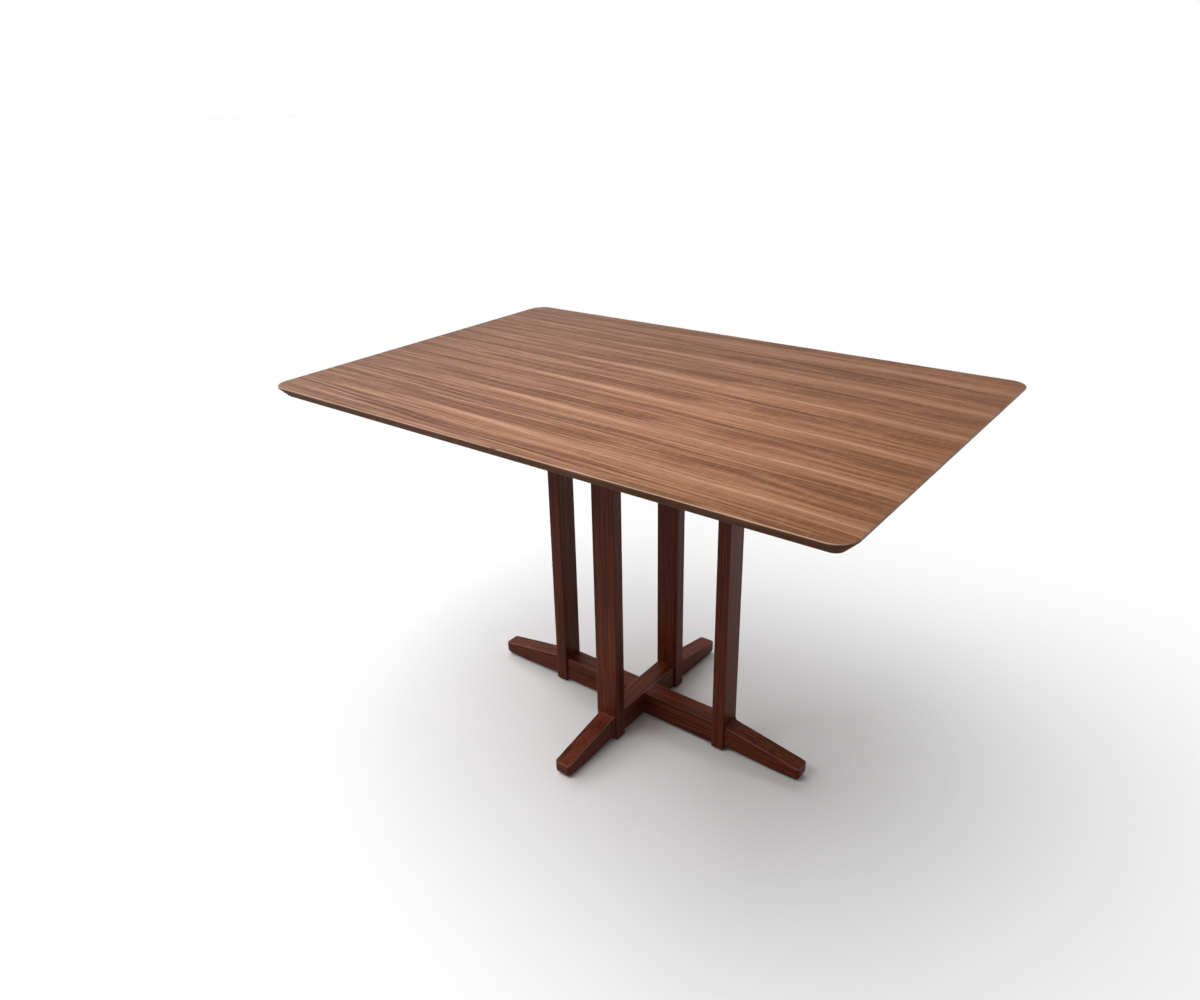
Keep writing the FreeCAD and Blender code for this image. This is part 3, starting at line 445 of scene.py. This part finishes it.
def solid_walnut(direction):
    """Dark walnut, planed and satin lacquered, with the grain along one direction."""
    wood, tree, shader = start_material("walnut_solid_planed_satin_lacquer_along_" + direction)
    place = along_grain(tree, direction)
    rings = grain_noise(tree, place, STICK_RING_MM, detail=2.0, distortion=STICK_DISTORTION)
    fibre = grain_noise(tree, place, STICK_FIBRE_MM, detail=3.0, distortion=STICK_DISTORTION)
    pores = grain_noise(tree, place, STICK_PORE_MM, detail=1.0, distortion=STICK_DISTORTION)
    tone = add(tree, "MapRange", {"Value": fibre, "From Min": STICK_FIBRE_DEEP,
                                  "From Max": STICK_FIBRE_PALE})
    ring = add(tree, "MapRange", {"Value": rings, "From Min": STICK_RING_STARTS,
                                  "From Max": STICK_RING_FULL, "To Max": STICK_RING_SHARE})
    pore = add(tree, "MapRange", {"Value": pores, "From Min": STICK_PORE_STARTS,
                                  "From Max": STICK_PORE_FULL, "To Max": STICK_PORE_SHARE})
    painted_highlight = add(tree, "Math", {0: arris_highlight_mask(tree), 1: ARRIS_HIGHLIGHT_SHARE}, operation="MULTIPLY")
    colour = linear("#522010")
    # The last layer is a painted highlight on the arrises
    for mask, hex_code in ((tone, "#833f24"), (ring, "#381306"), (pore, "#200a04"), (painted_highlight, "#b58674")):
        colour = add(tree, "Mix", {FACTOR: mask, FIRST: colour, SECOND: linear(hex_code)},
                     out=MIXED, data_type="RGBA")
    tree.links.new(colour, shader.inputs["Base Color"])
    gloss = add(tree, "MapRange", {"Value": tone, "To Min": STICK_ROUGHNESS[0],
                                   "To Max": STICK_ROUGHNESS[1]})
    tree.links.new(gloss, shader.inputs["Roughness"])
    raised = add(tree, "Math", {0: 1.0, 1: pore}, operation="SUBTRACT")
    tree.links.new(add(tree, "Bump", {"Strength": STICK_PORE_RELIEF, "Distance": PORE_DEPTH_M,
                                      "Height": raised}), shader.inputs["Normal"])
    shader.inputs["IOR"].default_value = LACQUER_IOR
    shader.inputs["Specular IOR Level"].default_value = STICK_SATIN_LEVEL
    return wood


walnut = {direction: solid_walnut(direction) for direction in "xyz"}
print("solid walnut:", sorted(wood.name for wood in walnut.values()))

# %% [markdown]
# The hidden slides and bearers are beech, a pale wood that slides well on itself.
# It was only waxed, so it is duller than the lacquered walnut. Its mark is the
# short brown fleck along the grain. Flecks could be scattered one by one, but the
# peaks of a noise do the same: in one that is 9 mm long they are about 3 mm long.

# %% Beech
BEECH_GRAIN_MM = (300.0, 6.0)
BEECH_DEEP, BEECH_PALE = 0.3, 0.7
FLECK_MM = (9.0, 1.0)
FLECK_STARTS, FLECK_FULL, FLECK_SHARE = 0.6, 0.72, 0.6
WAX_IOR = 1.5
WAX_ROUGHNESS = (0.5, 0.6)


def waxed_beech(direction):
    """Planed and waxed beech, pale with short brown flecks along the grain."""
    wood, tree, shader = start_material("beech_planed_waxed_along_" + direction)
    place = along_grain(tree, direction)
    tone = add(tree, "MapRange", {"Value": grain_noise(tree, place, BEECH_GRAIN_MM, detail=2.0),
                                  "From Min": BEECH_DEEP, "From Max": BEECH_PALE})
    fleck = add(tree, "MapRange", {"Value": grain_noise(tree, place, FLECK_MM, detail=2.0),
                                   "From Min": FLECK_STARTS, "From Max": FLECK_FULL,
                                   "To Max": FLECK_SHARE})
    colour = linear("#b98e63")
    for mask, hex_code in ((tone, "#d0aa80"), (fleck, "#8a5f3d")):
        colour = add(tree, "Mix", {FACTOR: mask, FIRST: colour, SECOND: linear(hex_code)},
                     out=MIXED, data_type="RGBA")
    tree.links.new(colour, shader.inputs["Base Color"])
    gloss = add(tree, "MapRange", {"Value": tone, "To Min": WAX_ROUGHNESS[0], "To Max": WAX_ROUGHNESS[1]})
    tree.links.new(gloss, shader.inputs["Roughness"])
    shader.inputs["IOR"].default_value = WAX_IOR
    return wood


beech = {direction: waxed_beech(direction) for direction in "xy"}
print("beech:", sorted(wood.name for wood in beech.values()))

# %% [markdown]
# Screws, plates and pivots are steel with a thin zinc coat, whose cloudy crystals
# break the gloss into patches. Pins and hinges are drawn brass, warm and smoother.
# A metal's colour is that of its reflection, so one noise of small clouds can vary
# both its tone and its gloss, and no other pattern is needed.

# %% Metals
CLOUD_MM = 3.0
CLOUD_LOW, CLOUD_HIGH = 0.3, 0.7


def clouded_metal(name, deep, bright, rough):
    """A metal whose tone and gloss vary in small clouds."""
    metal, tree, shader = start_material(name)
    clouds = add(tree, "TexNoise", {"Vector": add(tree, "TexCoord", out="Object"),
                                    "Scale": MM_PER_M / CLOUD_MM, "Detail": 3.0}, out="Fac")
    tone = add(tree, "Mix", {FACTOR: clouds, FIRST: linear(deep), SECOND: linear(bright)},
               out=MIXED, data_type="RGBA")
    tree.links.new(tone, shader.inputs["Base Color"])
    gloss = add(tree, "MapRange", {"Value": clouds, "From Min": CLOUD_LOW, "From Max": CLOUD_HIGH,
                                   "To Min": rough[0], "To Max": rough[1]})
    tree.links.new(gloss, shader.inputs["Roughness"])
    shader.inputs["Metallic"].default_value = 1.0
    return metal


steel = clouded_metal("steel_zinc_plated", "#9a9ea3", "#c3c6c8", (0.3, 0.48))
brass = clouded_metal("brass_drawn", "#a9843f", "#cda65d", (0.22, 0.34))
print("metals:", steel.name, brass.name)

# %% [markdown]
# Each foot stands on a disc of pressed felt. Felt has no gloss, and its fibres
# catch light at the rim, which the shader calls sheen. Hairs could be grown on it,
# but the discs hardly show under the feet, so a fine bump is enough. A real fibre
# is far thinner, so this one is drawn as coarse as it needs to show.

# %% Felt
FELT_FIBRE_MM = 0.9
FELT_DEPTH_M = 0.0003
FELT_RELIEF = 0.6
FELT_ROUGHNESS = 0.95
FELT_SHEEN = 0.3

felt, tree, felt_shader = start_material("wool_felt_pressed")
fuzz = add(tree, "TexNoise", {"Vector": add(tree, "TexCoord", out="Object"),
                              "Scale": MM_PER_M / FELT_FIBRE_MM, "Detail": 3.0}, out="Fac")
tree.links.new(add(tree, "Mix", {FACTOR: fuzz, FIRST: linear("#2a2320"), SECOND: linear("#4a403a")},
                   out=MIXED, data_type="RGBA"), felt_shader.inputs["Base Color"])
tree.links.new(add(tree, "Bump", {"Strength": FELT_RELIEF, "Distance": FELT_DEPTH_M, "Height": fuzz}),
               felt_shader.inputs["Normal"])
felt_shader.inputs["Roughness"].default_value = FELT_ROUGHNESS
felt_shader.inputs["Sheen Weight"].default_value = FELT_SHEEN
print("felt:", felt.name)

# %% [markdown]
# Now each piece of the frame gets its material. The frame's own record says what
# every piece is made of, and the sticks of one wood differ only in the direction
# of their grain, which is the direction of their longest side.

# %% Give each piece its material
def longest_side(name):
    low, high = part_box(name)
    return max(zip(high - low, "xyz"))[1]


made_of = {part["node"]: part["material_slot"] for part in frame["record"]["subparts"]}
sticks = {"walnut_solid": walnut, "beech_frame": beech}
others = {"walnut_veneer": veneer, "felt": felt, "brass": brass, "steel": steel}
for name, piece in pieces.items():
    slot = made_of[name]
    material = sticks[slot][longest_side(name)] if slot in sticks else others[slot]
    if not piece.data.materials:
        piece.data.materials.append(material)
    for at in range(len(piece.data.materials)):
        piece.data.materials[at] = material
print("dressed", len(pieces), "pieces")

# %% [markdown]
# The table stands on a pale paper floor without an end. Seen or mirrored, the
# paper is white. For the light that it throws back up it is grey, so the undersides
# stay dark, as they do over a common floor. A grey floor would do that too, but then
# it would show grey, so the kind of ray chooses between the two.

# %% Floor
FLOOR_HALF_M = 40.0
PAPER_ROUGHNESS = 0.9

floor_mesh = bpy.data.meshes.new("studio_floor")
floor_mesh.from_pydata([(-FLOOR_HALF_M, -FLOOR_HALF_M, 0.0), (FLOOR_HALF_M, -FLOOR_HALF_M, 0.0),
                        (FLOOR_HALF_M, FLOOR_HALF_M, 0.0), (-FLOOR_HALF_M, FLOOR_HALF_M, 0.0)],
                       [], [(0, 1, 2, 3)])
floor = bpy.data.objects.new("studio_floor", floor_mesh)
bpy.context.scene.collection.objects.link(floor)
paper, tree, paper_shader = start_material("studio_paper_matt_white")
rays = add(tree, "LightPath").node.outputs
mirrored = add(tree, "Math", {0: rays["Is Glossy Ray"], 1: rays["Is Transmission Ray"]},
               operation="MAXIMUM")
shown = add(tree, "Math", {0: rays["Is Camera Ray"], 1: mirrored}, operation="MAXIMUM")
tree.links.new(add(tree, "Mix", {FACTOR: shown, FIRST: linear("#8a8a8a"), SECOND: linear("#fafafa")},
                   out=MIXED, data_type="RGBA"), paper_shader.inputs["Base Color"])
paper_shader.inputs["Roughness"].default_value = PAPER_ROUGHNESS
paper_shader.inputs["Specular IOR Level"].default_value = 0.0
floor_mesh.materials.append(paper)
print("floor", 2 * FLOOR_HALF_M, "m wide")

# %% [markdown]
# Soft light comes from the left. A sun lamp with a very wide disc gives a shadow
# that fades within a metre, as a large softbox does, and it lights the floor evenly
# out to the horizon. A small panel at the front left lifts the front edge.

# %% Lamps
KEY_FROM = Vector((-0.5, 0.0, 1.0))
KEY_STRENGTH = 2.8
KEY_WIDTH_DEG = 85.0
PANEL_AT = Vector((-0.4, -1.15, 1.9))
PANEL_AIM = Vector((-0.1, -0.2, 0.6))
PANEL_SIDE_M = 0.9
PANEL_WATTS = 6.0

key = bpy.data.lights.new("softbox_left", "SUN")
key.energy = KEY_STRENGTH
key.angle = math.radians(KEY_WIDTH_DEG)
key_lamp = bpy.data.objects.new("softbox_left", key)
key_lamp.rotation_euler = KEY_FROM.to_track_quat("Z", "Y").to_euler()
bpy.context.scene.collection.objects.link(key_lamp)
panel = bpy.data.lights.new("softbox_front_left", "AREA")
panel.energy = PANEL_WATTS
panel.size = PANEL_SIDE_M
panel_lamp = bpy.data.objects.new("softbox_front_left", panel)
panel_lamp.location = PANEL_AT
panel_lamp.rotation_euler = (PANEL_AT - PANEL_AIM).to_track_quat("Z", "Y").to_euler()
bpy.context.scene.collection.objects.link(panel_lamp)
print("lamps:", key_lamp.name, panel_lamp.name)

# %% [markdown]
# The air of the studio does three jobs. The camera sees it as white. On surfaces it
# is a weak, even light from all round. In reflections it is a white backdrop that
# ends under a dim ceiling, because a lacquered top under a white ceiling would
# lose its colour.

# %% Studio air
FILL_STRENGTH = 0.25
CEILING_STRENGTH = 0.12
# Sines of the elevations where the backdrop ends and the ceiling starts
BACKDROP_TOP, CEILING_START = 0.09, 0.22

world = bpy.data.worlds.new("studio_air")
world.use_nodes = True
bpy.context.scene.world = world
tree = world.node_tree
air = tree.nodes["Background"]
air.inputs["Color"].default_value = linear("#ffffff")
rays = add(tree, "LightPath").node.outputs
mirrored = add(tree, "Math", {0: rays["Is Glossy Ray"], 1: rays["Is Transmission Ray"]},
               operation="MAXIMUM")
height = add(tree, "SeparateXYZ", {0: add(tree, "TexCoord", out="Generated")}, out="Z")
backdrop = add(tree, "MapRange", {"Value": height, "From Min": BACKDROP_TOP, "From Max": CEILING_START,
                                  "To Min": 1.0, "To Max": CEILING_STRENGTH})
reflected = add(tree, "Math", {0: mirrored, 1: backdrop}, operation="MULTIPLY")
fill = add(tree, "MapRange", {"Value": mirrored, "To Min": FILL_STRENGTH, "To Max": 0.0})
unseen = add(tree, "Math", {0: reflected, 1: fill}, operation="ADD")
tree.links.new(add(tree, "Math", {0: rays["Is Camera Ray"], 1: unseen}, operation="MAXIMUM"),
               air.inputs["Strength"])
bpy.context.scene.view_settings.view_transform = "Standard"
print("key", KEY_STRENGTH, "fill", FILL_STRENGTH)

# %% [markdown]
# The camera stands where the photo was taken from: in front of the right end, a
# little above the top, and looking down. It could be placed by eye, but a fit to
# the corners of the top, the posts and the feet gives its place, its tilt and its
# lens at once. The photo leans a little, so the picture is rolled by a degree and
# a half.

# %% Camera
AZIMUTH = math.radians(38.29)
ELEVATION = math.radians(24.69)
ROLL = math.radians(-1.52)
STAND = Vector((0.97025, -1.35966, 1.27789))
FOCAL_PIXELS = 917.69
PICTURE_PIXELS = 1200
SENSOR_MM = 36.0

back = Vector((math.sin(AZIMUTH) * math.cos(ELEVATION), -math.cos(AZIMUTH) * math.cos(ELEVATION),
               math.sin(ELEVATION)))
level_right = Vector((0.0, 0.0, 1.0)).cross(back).normalized()
level_up = back.cross(level_right)
right = math.cos(ROLL) * level_right + math.sin(ROLL) * level_up
up = math.cos(ROLL) * level_up - math.sin(ROLL) * level_right
lens = bpy.data.cameras.new("photo_camera")
lens.sensor_fit = "HORIZONTAL"
lens.sensor_width = SENSOR_MM
lens.lens = FOCAL_PIXELS / PICTURE_PIXELS * SENSOR_MM
camera = bpy.data.objects.new("photo_camera", lens)
turn = Matrix((right, up, back)).transposed()
camera.matrix_world = Matrix.Translation(STAND) @ turn.to_4x4()
bpy.context.scene.collection.objects.link(camera)
bpy.context.scene.camera = camera
print("lens", round(lens.lens, 2), "mm")
